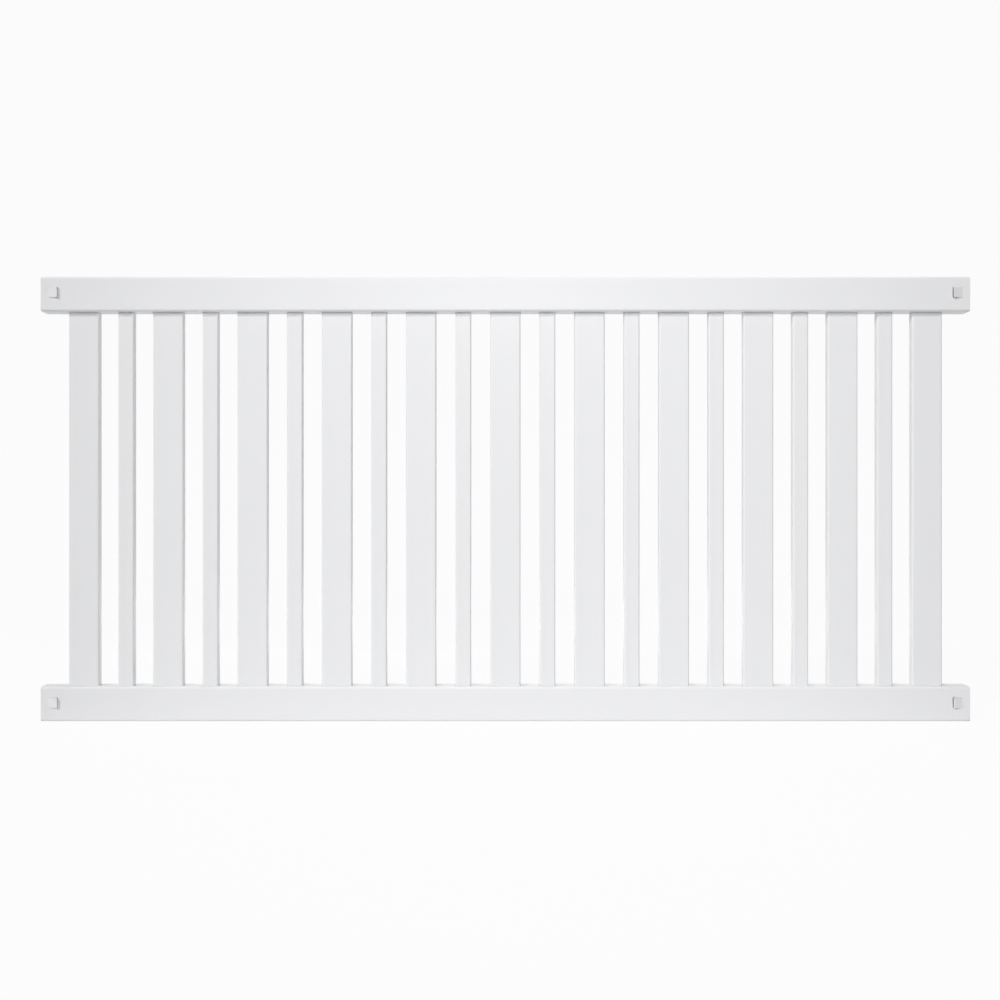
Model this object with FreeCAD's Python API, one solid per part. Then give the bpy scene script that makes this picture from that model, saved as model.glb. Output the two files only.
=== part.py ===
import FreeCAD, Part
import math
import os

# Closed-top picket fence panel in hollow white rigid PVC extrusions, in millimetres.
# X runs along the panel, the front faces -Y, Z is up, and the origin is the
# middle of the bottom rail's underside.

# Panel
panel_length = 2388.0
panel_height = 1143.0

# Rails: one rectangular tube at the top and the same one at the bottom
rail_depth = 50.8
rail_height = 88.9
rail_wall = 2.3
rail_corner_radius = 5.5
rail_inner_radius = 3.2

# Pickets: wide and narrow flat tubes in turn, with a wide one at both ends
wide_picket_width = 78.0
narrow_picket_width = 40.4
picket_depth = 22.2
picket_wall = 1.5
picket_corner_radius = 4.0
picket_bore_chamfer = 1.5
wide_picket_count = 11
end_margin = 66.0

# Slots routed in the rails, which the pickets pass through
slot_clearance = 0.8
router_overtravel = 5.0

# Lock tabs lanced from the front and back walls near each rail end, a little above
# the rail's middle, and bent outwards
tab_end_distance = 19.0
tab_length = 25.4
tab_height = 25.4
tab_rise = 3.8
tab_angle = 15.0
tab_bend_radius = 2.0
lance_gap = 0.5

# Weep holes drilled in the bottom rail's underside, in the spaces between pickets
weep_hole_diameter = 6.4
weep_hole_space = 5

# Values that follow from the ones above
picket_count = 2 * wide_picket_count - 1
picket_pitch = (panel_length - 2 * end_margin - wide_picket_width) / (picket_count - 1)
picket_length = panel_height - 2 * rail_wall
top_rail_bottom = panel_height - rail_height

X_AXIS = FreeCAD.Vector(1, 0, 0)
Y_AXIS = FreeCAD.Vector(0, 1, 0)
Z_AXIS = FreeCAD.Vector(0, 0, 1)


def rounded_rectangle(centre, across, up, width, height, radius):
    """Closed wire of four straight sides and four quarter arcs, in the plane of two unit vectors."""
    half_width = width / 2
    half_height = height / 2
    edges = []
    for quarter in range(4):
        turn = math.pi / 2 * quarter
        outward = across * math.cos(turn) + up * math.sin(turn)
        onward = up * math.cos(turn) - across * math.sin(turn)
        reach, side = (half_width, half_height) if quarter % 2 == 0 else (half_height, half_width)
        start = centre + outward * reach - onward * (side - radius)
        end = centre + outward * reach + onward * (side - radius)
        arc_centre = end - outward * radius
        arc_middle = arc_centre + (outward + onward) * (radius * math.sqrt(0.5))
        arc_end = arc_centre + onward * radius
        edges.append(Part.LineSegment(start, end).toShape())
        edges.append(Part.Arc(end, arc_middle, arc_end).toShape())
    return Part.Wire(edges)


def rounded_bar(centre, across, up, along, width, height, radius):
    """Solid extrusion with rounded corners, from the middle of its section at its first end."""
    return Part.Face(rounded_rectangle(centre, across, up, width, height, radius)).extrude(along)


def picket_x(index):
    """Middle of a picket, counted from the left end of the panel."""
    return (index - (picket_count - 1) / 2) * picket_pitch


def picket_width(index):
    """Even places hold the wide pickets and odd places the narrow ones."""
    return wide_picket_width if index % 2 == 0 else narrow_picket_width


def routed_slot(index, wall_middle):
    """Cutter for one slot: the picket's outline, larger all round by the slot's clearance."""
    height = rail_wall + 2 * router_overtravel
    return rounded_bar(
        FreeCAD.Vector(picket_x(index), 0, wall_middle - height / 2),
        X_AXIS,
        Y_AXIS,
        Z_AXIS * height,
        picket_width(index) + 2 * slot_clearance,
        picket_depth + 2 * slot_clearance,
        picket_corner_radius + slot_clearance,
    )


def tab_window(end, face, middle):
    """Cutter for the opening that a lock tab leaves in the wall when it is bent out."""
    inward = -end
    hinge_x = end * (panel_length / 2 - tab_end_distance)
    far_x = hinge_x + inward * (tab_length + lance_gap)
    height = tab_height + 2 * lance_gap
    outside_y = face * (rail_depth / 2 + rail_wall)
    inside_y = face * (rail_depth / 2 - 2 * rail_wall)
    corner = FreeCAD.Vector(min(hinge_x, far_x), min(outside_y, inside_y), middle - height / 2)
    return Part.makeBox(abs(far_x - hinge_x), abs(outside_y - inside_y), height, corner)


def tab_tongue(end, face, middle):
    """Tongue with the wall's thickness: a root in the wall, a bend, and a straight run outwards.

    The outer surface turns about a centre that lies the bend radius outside the wall, and
    the inner surface turns about the same centre at the bend radius and the wall together.
    """
    inward = X_AXIS * -end
    outward = Y_AXIS * face
    angle = math.radians(tab_angle)
    straight = tab_length - tab_bend_radius * angle
    hinge = FreeCAD.Vector(end * (panel_length / 2 - tab_end_distance), 0, middle - tab_height / 2)
    hinge = hinge + outward * (rail_depth / 2)
    bend_centre = hinge + outward * tab_bend_radius
    run = inward * math.cos(angle) + outward * math.sin(angle)

    def around(turn, radius):
        return bend_centre + (inward * math.sin(turn) - outward * math.cos(turn)) * radius

    inner_radius = tab_bend_radius + rail_wall
    root = inward * -rail_wall
    outer_root = hinge + root
    outer_end = around(angle, tab_bend_radius) + run * straight
    inner_end = around(angle, inner_radius) + run * straight
    inner_hinge = around(0, inner_radius)
    inner_root = inner_hinge + root
    outline = Part.Wire([
        Part.LineSegment(outer_root, hinge).toShape(),
        Part.Arc(hinge, around(angle / 2, tab_bend_radius), around(angle, tab_bend_radius)).toShape(),
        Part.LineSegment(around(angle, tab_bend_radius), outer_end).toShape(),
        Part.LineSegment(outer_end, inner_end).toShape(),
        Part.LineSegment(inner_end, around(angle, inner_radius)).toShape(),
        Part.Arc(around(angle, inner_radius), around(angle / 2, inner_radius), inner_hinge).toShape(),
        Part.LineSegment(inner_hinge, inner_root).toShape(),
        Part.LineSegment(inner_root, outer_root).toShape(),
    ])
    return Part.Face(outline).extrude(Z_AXIS * tab_height)


def rail(bottom, slotted_wall_middle):
    """Rail tube with a slot for each picket in one wall and a pair of lock tabs at each end."""
    middle = bottom + rail_height / 2
    place = (FreeCAD.Vector(-panel_length / 2, 0, middle), Y_AXIS, Z_AXIS, X_AXIS * panel_length)
    bore_depth = rail_depth - 2 * rail_wall
    bore_height = rail_height - 2 * rail_wall
    tube = rounded_bar(*place, rail_depth, rail_height, rail_corner_radius)
    tube = tube.cut(rounded_bar(*place, bore_depth, bore_height, rail_inner_radius))
    tab_places = [(end, face, middle + tab_rise) for end in (-1, 1) for face in (-1, 1)]
    cutters = [routed_slot(index, slotted_wall_middle) for index in range(picket_count)]
    cutters += [tab_window(*place) for place in tab_places]
    tongues = [tab_tongue(*place) for place in tab_places]
    return tube.cut(cutters).fuse(tongues).removeSplitter()


def top_rail():
    """Top rail, slotted from below."""
    return rail(top_rail_bottom, top_rail_bottom + rail_wall / 2)


def bottom_rail():
    """Bottom rail, slotted from above, with a weep hole on each side of the middle."""
    body = rail(0, rail_height - rail_wall / 2)
    hole_x = (weep_hole_space + 0.5) * picket_pitch
    for side in (-1, 1):
        start = FreeCAD.Vector(side * hole_x, 0, -rail_wall)
        body = body.cut(Part.makeCylinder(weep_hole_diameter / 2, 3 * rail_wall, start, Z_AXIS))
    return body


def chamfered_bar(centre, width, depth, height, chamfer):
    """Upright solid with its four corners cut off, from the middle of its foot."""
    x = width / 2
    y = depth / 2
    corners = []
    for side_x, side_y in ((1, 1), (-1, 1), (-1, -1), (1, -1)):
        pair = [(side_x * x, side_y * (y - chamfer)), (side_x * (x - chamfer), side_y * y)]
        corners += pair if side_x == side_y else pair[::-1]
    points = [centre + X_AXIS * across + Y_AXIS * back for across, back in corners]
    return Part.Face(Part.makePolygon(points + points[:1])).extrude(Z_AXIS * height)


def picket(index):
    """Flat tube with square-cut ends, from the bottom rail's floor to the top rail's ceiling."""
    foot = FreeCAD.Vector(picket_x(index), 0, rail_wall)
    width = picket_width(index)
    bar = rounded_bar(
        foot, X_AXIS, Y_AXIS, Z_AXIS * picket_length, width, picket_depth, picket_corner_radius
    )
    bore_width = width - 2 * picket_wall
    bore_depth = picket_depth - 2 * picket_wall
    return bar.cut(chamfered_bar(foot, bore_width, bore_depth, picket_length, picket_bore_chamfer))


def picket_name(index):
    """Wide and narrow pickets are numbered apart, from the left."""
    kind = "wide_picket" if index % 2 == 0 else "narrow_picket"
    return f"{kind}_{index // 2 + 1:02d}"


pieces = {"top_rail": top_rail(), "bottom_rail": bottom_rail()}
for place in range(picket_count):
    pieces[picket_name(place)] = picket(place)

os.makedirs("parts", exist_ok=True)
for name, shape in pieces.items():
    shape.exportStep(f"parts/{name}.step")
    print(f"{name}: {len(shape.Solids)} solid, {shape.Volume / 1000:.1f} cm3")
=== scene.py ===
import math

import bmesh
import bpy
import numpy as np
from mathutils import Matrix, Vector


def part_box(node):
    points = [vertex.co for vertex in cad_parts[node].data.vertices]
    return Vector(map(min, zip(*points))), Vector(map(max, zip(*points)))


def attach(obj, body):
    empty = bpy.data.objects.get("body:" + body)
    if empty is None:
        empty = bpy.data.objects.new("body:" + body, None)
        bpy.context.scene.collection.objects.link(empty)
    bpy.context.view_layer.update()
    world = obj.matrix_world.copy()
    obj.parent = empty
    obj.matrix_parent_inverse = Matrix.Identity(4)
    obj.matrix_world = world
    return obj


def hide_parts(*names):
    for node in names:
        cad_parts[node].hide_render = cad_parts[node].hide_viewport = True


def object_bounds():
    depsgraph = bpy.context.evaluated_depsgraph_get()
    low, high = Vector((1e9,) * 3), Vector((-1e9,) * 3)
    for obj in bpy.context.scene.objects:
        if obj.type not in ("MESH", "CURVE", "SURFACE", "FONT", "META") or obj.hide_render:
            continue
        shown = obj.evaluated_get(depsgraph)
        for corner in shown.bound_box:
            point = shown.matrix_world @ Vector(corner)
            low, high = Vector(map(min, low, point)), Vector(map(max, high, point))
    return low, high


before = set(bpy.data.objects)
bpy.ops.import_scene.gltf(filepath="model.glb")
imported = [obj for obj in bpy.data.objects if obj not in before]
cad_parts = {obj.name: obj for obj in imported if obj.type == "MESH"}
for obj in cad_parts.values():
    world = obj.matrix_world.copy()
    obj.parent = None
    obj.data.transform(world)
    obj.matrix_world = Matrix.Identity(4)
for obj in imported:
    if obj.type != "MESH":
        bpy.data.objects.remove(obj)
cad_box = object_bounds()

# Bottom rail
# A rectangular tube of rigid white PVC, extruded and sawn to length. A slot for each picket is
# routed in its top wall, a tongue is lanced from the front and back walls near each end and bent
# out to catch behind the post's wall, and two weep holes are drilled through its floor.

half_length = cad_box[1].x
panel_height = cad_box[1].z
rail_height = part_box("bottom_rail")[1].z
rail_middle = rail_height / 2
rail_depth = 0.0508
rail_wall = 0.0023
rail_corner = 0.0055
rail_inner_corner = 0.0032
rail_skins = ((0.0, rail_corner), (rail_wall, rail_inner_corner))
rail_dish = 0.00022
edge_support = 0.0008
end_support = 0.001
same_place = 1e-6

picket_nodes = sorted(
    (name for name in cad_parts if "picket_" in name), key=lambda name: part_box(name)[0].x
)
picket_boxes = np.array([[list(corner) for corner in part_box(name)] for name in picket_nodes])
picket_places = picket_boxes[:, :, 0].mean(axis=1)
picket_widths = np.ptp(picket_boxes[:, :, 0], axis=1)
picket_depth = np.ptp(picket_boxes[0, :, 1])
picket_corner = 0.0040

slot_clearance = 0.0008
slot_corner = picket_corner + slot_clearance
slot_margin = 0.004
slot_sizes = np.stack([picket_widths, np.full_like(picket_widths, picket_depth)], axis=-1) / 2
slot_sizes += slot_clearance

hinge_x = half_length - 0.019
tab_length = 0.0254
tab_half = 0.0127
tab_rise = 0.0038
tab_angle = math.radians(15.0)
tab_bend_radius = 0.002
lance_gap = 0.0005
window_x = hinge_x - tab_length - lance_gap
window_half = tab_half + lance_gap

weep_spaces = np.array([4, 15])
weep_places = (picket_places[weep_spaces] + picket_places[weep_spaces + 1]) / 2
weep_radius = 0.0032
weep_patch = (0.0064, 0.0064)


def grid(*parts):
    """Points from their x, y and height: each is a number, a row, a column or a full table."""
    return np.stack(np.broadcast_arrays(*parts), axis=-1)


def skin(points, closed=False):
    """Quads over a grid of points: each joins (row, column) to the next row and the next column."""
    rows, columns = points.shape[:2]
    number = np.arange(rows * columns).reshape(rows, columns)
    if closed:
        number = np.hstack([number, number[:, :1]])
    corners = np.stack([number[:-1, :-1], number[:-1, 1:], number[1:, 1:], number[1:, :-1]], axis=-1)
    return points.reshape(-1, 3), corners.reshape(-1, 4)


def without(surface, inside):
    """The surface less the quads whose middles pass a test on an array of points."""
    points, corners = surface
    return points, corners[~inside(points[corners].mean(axis=1))]


def stations(*values):
    """All values in one rising list, each once."""
    return np.unique(np.round(np.concatenate(values), 9))


def placed(name, data):
    """A new object at the origin that holds a mesh, a lamp or a camera."""
    made = bpy.data.objects.new(name, data)
    bpy.context.scene.collection.objects.link(made)
    return made


def welded(name, surfaces):
    """A piece from surfaces that meet edge to edge: shared points merged, faces turned outwards."""
    starts = np.cumsum([0] + [len(points) for points, corners in surfaces])
    points = np.concatenate([points for points, corners in surfaces])
    faces = np.concatenate([corners + start for (_, corners), start in zip(surfaces, starts)])
    mesh = bpy.data.meshes.new(name)
    mesh.from_pydata(points.tolist(), [], faces.tolist())
    work = bmesh.new()
    work.from_mesh(mesh)
    bmesh.ops.remove_doubles(work, verts=work.verts, dist=same_place)
    bmesh.ops.recalc_face_normals(work, faces=work.faces)
    work.to_mesh(mesh)
    work.free()
    mesh.shade_smooth()
    mesh.set_sharp_from_angle(angle=math.radians(35))
    return placed(name, mesh)


def quarter(steps):
    """Angles of a quarter turn in even steps."""
    return np.linspace(0, math.pi / 2, steps + 1)


def loop_pair(half, corner, patch):
    """A rounded rectangle and a plain rectangle outside it, as two loops of matching points.

    A corner point at angle a is the corner's centre plus the radius times (cos a, sin a). Its
    partner is the same centre plus the way to the outer corner times (1, tan a) up to 45 degrees
    and times (cot a, 1) past that.
    """
    turn = quarter(6)
    tangent = np.maximum(np.tan(turn), 1e-9)
    centre = np.array(half) - corner
    inner = centre + corner * np.stack([np.cos(turn), np.sin(turn)], axis=-1)
    share = np.minimum(1, np.stack([1 / tangent, tangent], axis=-1))
    pair = np.stack([inner, centre + (np.array(patch) - centre) * share])
    back = pair[:, ::-1]
    return np.concatenate([pair, back * [-1, 1], pair * [-1, -1], back * [1, -1]], axis=1)


def hole_surfaces(place, half, corner, levels):
    """A hole through a level wall: a ring of quads on each face out to its patch, and its own wall.

    Each level is a face's height and the half size of the plain rectangle that the ring fills.
    """
    rings = []
    for height, patch in levels:
        pair = loop_pair(half, corner, patch)
        rings.append(grid(pair[:, :, 0] + place, pair[:, :, 1], height))
    wall = np.stack([ring[0] for ring in rings])
    return [skin(ring, closed=True) for ring in rings + [wall]]


def slot_patch(half, flat):
    """Half size of the rectangle round a slot: a margin past its ends, and the wall's whole flat."""
    return half[0] + slot_margin, flat


def rail_section(inset, corner, tab_middle, floor_stations):
    """Points (y, height) of a skin, from one edge of the slotted wall's flat round to the other.

    The back and front are dished: a point moves inwards by the dish times (1 - s squared)
    squared, where s runs from -1 at the foot of the flat to 1 at its top.
    """
    side = rail_depth / 2 - inset
    flat = side - corner
    low, high = inset + corner, rail_height - inset - corner
    corner_space = 0.006
    window_space = 0.003
    heights = stations(
        [low, low + edge_support, high - edge_support, high],
        np.linspace(low + corner_space, tab_middle - window_half - window_space, 5),
        tab_middle + np.linspace(-tab_half, tab_half, 7),
        [tab_middle - window_half, tab_middle + window_half],
        np.linspace(tab_middle + window_half + window_space, high - corner_space, 5),
    )[::-1]
    share = (heights - rail_middle) / (high - rail_middle)
    back = np.stack([side - rail_dish * (1 - share**2) ** 2, heights], axis=-1)
    arc = corner * np.stack([np.sin(quarter(8)), np.cos(quarter(8))], axis=-1)
    half = np.concatenate([[flat, high] + arc, back[1:-1], [flat, low] + arc[::-1] * [1, -1]])
    across = stations([-flat + edge_support, flat - edge_support], floor_stations)[::-1]
    floor = np.stack([across, np.full_like(across, inset)], axis=-1)
    return np.concatenate([half, floor, half[::-1] * [-1, 1]])


def tab_surfaces(end, face, tab_middle, sections):
    """A lanced window and its tongue, at one end of the rail and on one face.

    The tongue's two skins turn about one centre, a bend radius outside the wall: at angle a a
    skin of radius r lies r sin a ahead of the hinge and r (1 - cos a) out from its place in the
    wall. From the full angle on, both run straight.
    """
    turn = np.linspace(0, tab_angle, 5)
    run = np.linspace(0, tab_length - tab_bend_radius * tab_angle, 5)[1:]
    tongue = []
    rims = []
    for (inset, _), section in zip(rail_skins, sections):
        wall = section[section[:, 0] * face > rail_depth / 2 - inset - 2 * rail_dish]
        wall = wall[np.argsort(wall[:, 1])]
        off_middle = np.abs(wall[:, 1] - tab_middle)
        root = wall[off_middle < tab_half + same_place]
        rim = wall[off_middle < window_half + same_place]
        radius = tab_bend_radius + inset
        ahead = np.concatenate([
            radius * np.sin(turn),
            radius * math.sin(tab_angle) + run * math.cos(tab_angle),
        ])
        out = np.concatenate([
            radius * (1 - np.cos(turn)),
            radius * (1 - math.cos(tab_angle)) + run * math.sin(tab_angle),
        ])
        tongue_x = end * (hinge_x - ahead)[:, None]
        tongue.append(grid(tongue_x, root[:, 0] + face * out[:, None], root[:, 1]))
        x_pair = end * np.array([[hinge_x], [window_x]])
        rims.append([
            np.insert(rim, 0, end * window_x, axis=1),
            np.hstack([x_pair, rim[[0, 0]]]),
            np.hstack([x_pair, rim[[-1, -1]]]),
            np.insert(rim[:2], 0, end * hinge_x, axis=1),
            np.insert(rim[-2:], 0, end * hinge_x, axis=1),
        ])
    outer, inner = tongue
    edges = [(outer[:, 0], inner[:, 0]), (outer[:, -1], inner[:, -1]), (outer[-1], inner[-1])]
    edges += list(zip(*rims))
    return [skin(outer), skin(inner)] + [skin(np.stack(pair)) for pair in edges]


def rail_surfaces(tab_middle, weep_holes):
    """All surfaces of a rail that lies on its floor at height 0, with its slotted wall on top.

    A skin is a section carried along the rail: the point for x and a place on the section is
    (x, y, height). Windows and holes leave quads out, and their own surfaces fill up to them.
    """
    flats = [rail_depth / 2 - inset - corner for inset, corner in rail_skins]
    slot_loops = [loop_pair(half, slot_corner, slot_patch(half, flats[0]))[1] for half in slot_sizes]
    weep_loop = loop_pair((weep_radius, weep_radius), weep_radius, weep_patch)[1]
    end_places = (half_length, half_length - end_support, hinge_x, window_x)
    xs = stations(
        [sign * x for sign in (-1, 1) for x in end_places],
        *[place + loop[:, 0] for place, loop in zip(picket_places, slot_loops)],
        *[place + weep_loop[:, 0] for place in weep_places],
    )
    sections = [rail_section(*size, tab_middle, stations(weep_loop[:, 1])) for size in rail_skins]

    def in_window(middles):
        x, y, height = np.abs(middles).T
        beside = (x < hinge_x) & (x > window_x)
        return (y > flats[0]) & beside & (np.abs(height - tab_middle) < window_half)

    def in_weep_patch(middles):
        beside = np.abs(middles[:, :1] - weep_places).min(axis=1)
        return (beside < weep_patch[0]) & (np.abs(middles[:, 1]) < weep_patch[1])

    def in_slot_patch(middles):
        return np.any(np.abs(middles[:, :1] - picket_places) < slot_sizes[:, 0] + slot_margin, axis=1)

    surfaces = []
    ends = []
    slotted_levels = []
    for (inset, _), flat, section in zip(rail_skins, flats, sections):
        around = grid(xs[:, None], section[:, 0], section[:, 1])
        body = without(skin(around), in_window)
        if weep_holes:
            body = without(body, in_weep_patch)
        ys = stations(loop_pair(slot_sizes[0], slot_corner, slot_patch(slot_sizes[0], flat))[1][:, 1])
        top = grid(xs[:, None], ys, rail_height - inset)
        surfaces += [body, without(skin(top), in_slot_patch)]
        ends.append([around[0], around[-1], top[0], top[-1]])
        slotted_levels.append((rail_height - inset, flat))
    surfaces += [skin(np.stack(pair)) for pair in zip(*ends)]

    for place, half in zip(picket_places, slot_sizes):
        levels = [(height, slot_patch(half, flat)) for height, flat in slotted_levels]
        surfaces += hole_surfaces(place, half, slot_corner, levels)
    if weep_holes:
        floor_levels = [(inset, weep_patch) for inset, _ in rail_skins]
        for place in weep_places:
            surfaces += hole_surfaces(place, (weep_radius, weep_radius), weep_radius, floor_levels)
    for end in (-1, 1):
        for face in (-1, 1):
            surfaces += tab_surfaces(end, face, tab_middle, sections)
    return surfaces


bottom_rail = welded("bottom_rail_extrusion", rail_surfaces(rail_middle + tab_rise, weep_holes=True))
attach(bottom_rail, "root")
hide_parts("bottom_rail")


class Wire:
    """A node's output. Arithmetic on wires adds the Math nodes that work it out."""

    def __init__(self, socket):
        self.socket = socket

    def node(self, kind, settings, inputs, output=0):
        """An output of a new node: its settings come first, then each input's number or wire."""
        tree = self.socket.id_data
        made = tree.nodes.new(kind)
        for name, value in settings.items():
            setattr(made, name, value)
        for name, value in inputs.items():
            if isinstance(value, Wire):
                tree.links.new(value.socket, made.inputs[name])
            else:
                made.inputs[name].default_value = value
        return Wire(made.outputs[output])

    def cover(self, kind):
        """Makes this shader the surface of a material, or of a world, by an output node's type."""
        tree = self.socket.id_data
        tree.links.new(self.socket, tree.nodes.new(kind).inputs["Surface"])

    def math(self, operation, first, second=0.0):
        return self.node("ShaderNodeMath", {"operation": operation}, {0: first, 1: second})

    def __add__(self, other):
        return self.math("ADD", self, other)

    def __radd__(self, other):
        return self.math("ADD", other, self)

    def __mul__(self, other):
        return self.math("MULTIPLY", self, other)

    def __rmul__(self, other):
        return self.math("MULTIPLY", other, self)

    def __gt__(self, other):
        return self.math("GREATER_THAN", self, other)

    def __lt__(self, other):
        return self.math("LESS_THAN", self, other)

    def __abs__(self):
        return self.math("ABSOLUTE", self)


vinyl_white = (0.86, 0.862, 0.875, 1.0)
vinyl_shade = (0.84, 0.842, 0.856, 1.0)
wave_height = 6.0e-5
line_height = 3.0e-6
peel_height = 2.0e-6
sawn_depth = 0.0002


def empty_tree(owner):
    """The node tree of a material or a world, without the nodes that it starts with."""
    owner.use_nodes = True
    owner.node_tree.nodes.clear()
    return owner.node_tree


def noise(place, scale, detail=2.0, roughness=0.5):
    """Smooth noise from 0 to 1, with a scale along each axis in waves per metre."""
    stretched = place.node("ShaderNodeMapping", {}, {"Vector": place, "Scale": scale})
    inputs = {"Vector": stretched, "Scale": 1.0, "Detail": detail, "Roughness": roughness}
    return place.node("ShaderNodeTexNoise", {"noise_dimensions": "3D"}, inputs, "Fac")


def extruded_vinyl(name, along, sawn_beyond):
    """Satin PVC drawn through a die along one axis: along is 0 for x and 2 for z.

    Its bump is, in metres, a slow wave left by the haul-off, die lines that run along the axis and
    a fine orange peel. The faces past the sawn length are rougher.
    """
    material = bpy.data.materials.new(name)
    place = Wire(empty_tree(material).nodes.new("ShaderNodeTexCoord").outputs["Object"])
    drawn = [1.0, 1.0, 1.0]
    drawn[along] = 0.004
    wave = noise(place, (9.0, 9.0, 9.0), 1.0)
    lines = noise(place, [520.0 * share for share in drawn], 3.0, 0.6)
    peel = noise(place, (420.0, 420.0, 420.0))
    mottle = noise(place, (5.0, 5.0, 5.0), 3.0)
    height = wave * wave_height + lines * line_height + peel * peel_height
    bump = place.node("ShaderNodeBump", {}, {"Height": height, "Strength": 1.0, "Distance": 1.0})
    split = place.node("ShaderNodeSeparateXYZ", {}, {"Vector": place}, along)
    sawn = abs(split) > sawn_beyond
    roughness = 0.36 + lines * 0.08 + peel * 0.05 + sawn * 0.25
    colour = place.node(
        "ShaderNodeMix", {"data_type": "RGBA"}, {0: mottle * 0.6, 6: vinyl_white, 7: vinyl_shade}, 2
    )
    place.node("ShaderNodeBsdfPrincipled", {}, {
        "Base Color": colour, "Roughness": roughness, "Normal": bump, "IOR": 1.53,
    }).cover("ShaderNodeOutputMaterial")
    return material


rail_vinyl = extruded_vinyl("rail_vinyl_finish", 0, half_length - sawn_depth)
bottom_rail.data.materials.append(rail_vinyl)


# Pickets
# Flat tubes of the same PVC, wide and narrow in turn, sawn square. Each stands on the bottom
# rail's floor, passes through both slots with a little play, and ends under the top rail's ceiling.

picket_wall = 0.0015
picket_skins = ((0.0, picket_corner), (picket_wall, picket_corner - picket_wall))
picket_dish = 0.00018
picket_foot = picket_boxes[0, 0, 2]
picket_head = picket_boxes[0, 1, 2]
shift_x, shift_y, bow_y = 0.0002, 0.0002, 0.0003
sway = np.random.default_rng(7).uniform(-1, 1, (len(picket_places), 3)) * [shift_x, shift_y, bow_y]


def picket_section(width, inset, corner):
    """Closed loop (x, y) of a flat tube's skin, its broad faces dished like the rail's."""
    half_width = width / 2 - inset
    half_depth = picket_depth / 2 - inset
    flat = half_width - corner
    across = stations(
        [-flat, -flat + edge_support, flat - edge_support, flat],
        np.linspace(-flat + 0.004, flat - 0.004, 9),
    )[::-1]
    broad = np.stack([across, half_depth - picket_dish * (1 - (across / flat) ** 2) ** 2], axis=-1)
    turn = quarter(6)
    arc = [-flat, half_depth - corner] + corner * np.stack([-np.sin(turn), np.cos(turn)], axis=-1)
    half = np.concatenate([broad[:-1], arc, arc[:0:-1] * [1, -1]])
    return np.concatenate([half, -half])


def picket_surfaces(place, width, play):
    """A picket's skins and sawn ends: sections carried up, shifted in the slots and slightly bowed."""
    heights = stations(np.linspace(picket_foot, picket_head, 15))[:, None]
    share = (heights - picket_foot) / (picket_head - picket_foot)
    bow = play[2] * np.sin(math.pi * share)
    rings = []
    for inset, corner in picket_skins:
        loop = picket_section(width, inset, corner)
        rings.append(grid(loop[:, 0] + place + play[0], loop[:, 1] + play[1] + bow, heights))
    ends = [np.stack([ring[row] for ring in rings]) for row in (0, -1)]
    return [skin(ring, closed=True) for ring in rings + ends]


# The pickets' sawn ends are out of sight in the rails, so no height counts as sawn.
picket_vinyl = extruded_vinyl("picket_vinyl_finish", 2, 10.0)
for node, place, width, play in zip(picket_nodes, picket_places, picket_widths, sway):
    picket = welded(node + "_extrusion", picket_surfaces(place, width, play))
    picket.data.materials.append(picket_vinyl)
    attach(picket, "root")
    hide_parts(node)


# Top rail
# The same extrusion turned over, so that its slots open downwards and its plain wall closes the
# panel's top. It drops over the pickets' heads and rests on them.

turned_over = [
    (points * [1, 1, -1] + [0, 0, panel_height], corners)
    for points, corners in rail_surfaces(rail_middle - tab_rise, weep_holes=False)
]
top_rail = welded("top_rail_extrusion", turned_over)
top_rail.data.materials.append(rail_vinyl)
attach(top_rail, "root")
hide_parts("top_rail")


# Studio
# A pale floor that curves up into a backdrop, a white room, a key light high on the left, a wide
# spot above the camera, and soft boxes overhead, on the right and behind. The camera stands
# straight in front of the panel at half its height.

floor_width = 16.0
floor_front = -6.0
floor_back = 3.0
sweep_radius = 1.5
backdrop_height = 6.0
sweep = [floor_back, sweep_radius] + sweep_radius * np.stack(
    [np.sin(quarter(16)), -np.cos(quarter(16))], axis=-1
)
profile = np.concatenate([[[floor_front, 0]], sweep, [[floor_back + sweep_radius, backdrop_height]]])
sides = np.array([-floor_width / 2, floor_width / 2])
stage_points, stage_faces = skin(grid(sides, profile[:, :1], profile[:, 1:]))
stage_mesh = bpy.data.meshes.new("studio_floor")
stage_mesh.from_pydata(stage_points.tolist(), [], stage_faces[:, ::-1].tolist())
stage_mesh.shade_smooth()
stage = placed("studio_floor", stage_mesh)

pure_white = (1.0, 1.0, 1.0, 1.0)
floor_grey = (0.85, 0.85, 0.85, 1.0)
floor_glow = 0.94
room_light = 0.02


def seen_rays(tree):
    """1 for what the camera, a reflection or a clear material looks at, and 0 for diffuse light."""
    rays = tree.nodes.new("ShaderNodeLightPath").outputs
    kinds = ("Is Camera Ray", "Is Glossy Ray", "Is Transmission Ray")
    seen, mirrored, refracted = (Wire(rays[kind]) for kind in kinds)
    return seen + mirrored + refracted


stage_paint = bpy.data.materials.new("studio_paint")
stage_mesh.materials.append(stage_paint)
rays = seen_rays(empty_tree(stage_paint))
paint = rays.node("ShaderNodeBsdfDiffuse", {}, {"Color": floor_grey})
glow = rays.node("ShaderNodeEmission", {}, {"Color": pure_white, "Strength": 1.0})
floor_mix = rays.node("ShaderNodeMixShader", {}, {0: rays * floor_glow, 1: paint, 2: glow})
floor_mix.cover("ShaderNodeOutputMaterial")

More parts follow.
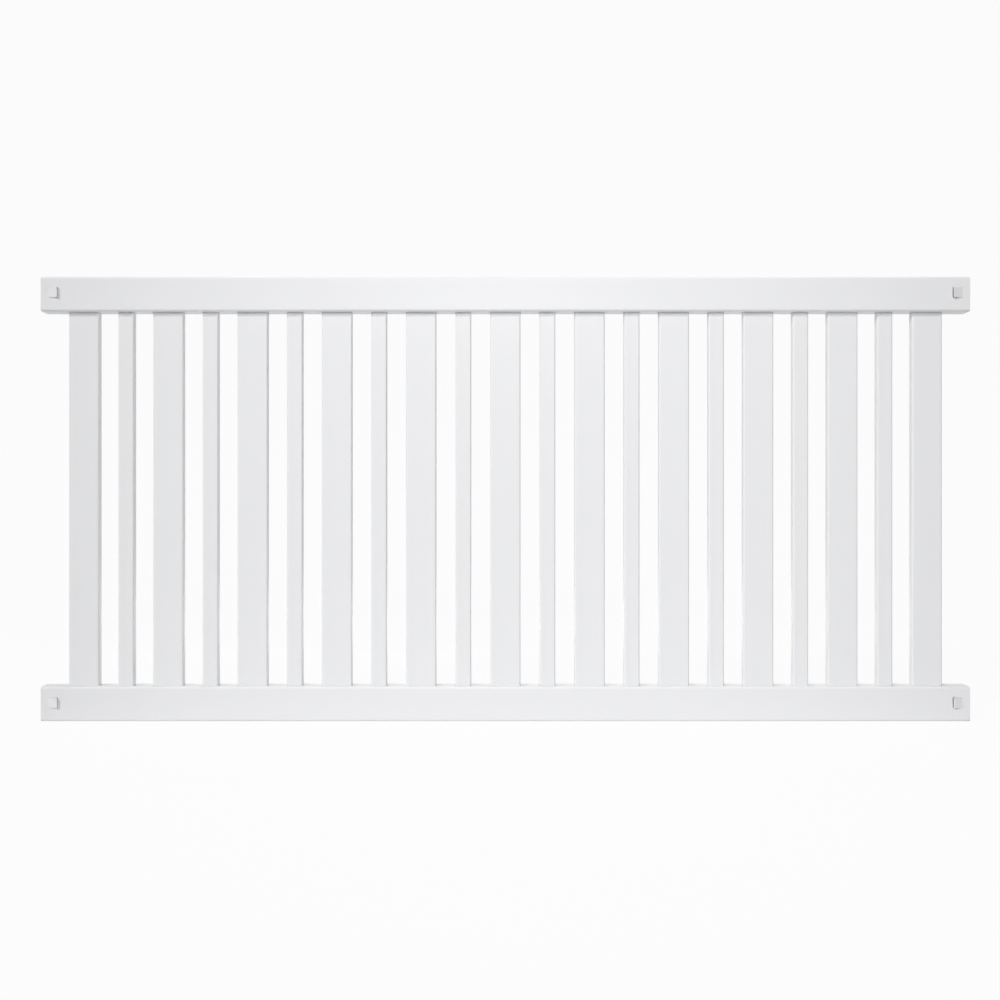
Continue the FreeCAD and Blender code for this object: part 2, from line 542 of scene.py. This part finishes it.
world = bpy.data.worlds.new("white_room")
bpy.context.scene.world = world
rays = seen_rays(empty_tree(world))
room = rays.node("ShaderNodeBackground", {}, {"Color": pure_white, "Strength": room_light})
backdrop = rays.node("ShaderNodeBackground", {}, {"Color": pure_white, "Strength": 1.0})
rays.node("ShaderNodeMixShader", {}, {0: rays, 1: room, 2: backdrop}).cover("ShaderNodeOutputWorld")


def aimed_lamp(name, kind, place, target, power):
    """A lamp of one kind at a place, turned towards a target."""
    lamp = bpy.data.lights.new(name, kind)
    lamp.energy = power
    holder = placed(name, lamp)
    holder.location = place
    holder.rotation_euler = (Vector(target) - Vector(place)).to_track_quat("-Z", "Y").to_euler()
    holder.visible_camera = False
    return lamp


camera_x = -0.014
panel_middle = (0.0, 0.0, 0.6)

key_light = aimed_lamp("key_light", "SUN", (-3.0, -3.0, 3.45), panel_middle, 1.45)
key_light.angle = math.radians(9.0)

front_light = aimed_lamp("front_light", "SPOT", (camera_x, -4.2, 2.7), panel_middle, 195.0)
front_light.spot_size = math.radians(46.0)
front_light.spot_blend = 1.0
front_light.shadow_soft_size = 0.25

softboxes = [
    ("overhead_light", (0.0, -5.0, 3.6), panel_middle, 60.0, 3.0, 2.0),
    ("right_light", (2.6, -3.0, 1.6), panel_middle, 3.0, 1.2, 1.2),
    ("ceiling_light", (0.0, -0.6, 3.4), (0.0, -0.6, 0.0), 18.0, 5.0, 3.0),
    ("back_light", (0.0, 1.4, 2.8), (0.0, 0.0, 0.3), 18.0, 3.0, 1.2),
    ("low_back_light", (0.0, 1.3, 0.05), (0.0, 0.0, 0.95), 7.0, 3.0, 0.4),
]
for name, place, target, watts, width, height in softboxes:
    softbox = aimed_lamp(name, "AREA", place, target, watts)
    softbox.shape = "RECTANGLE"
    softbox.size = width
    softbox.size_y = height

camera_data = bpy.data.cameras.new("camera")
camera_data.sensor_width = 36.0
camera_data.lens = 38.34
camera = placed("camera", camera_data)
camera.location = (camera_x, -2.7614, 0.569)
camera.rotation_euler = (math.radians(90.0), 0.0, 0.0)
bpy.context.scene.camera = camera
bpy.context.scene.view_settings.view_transform = "Standard"
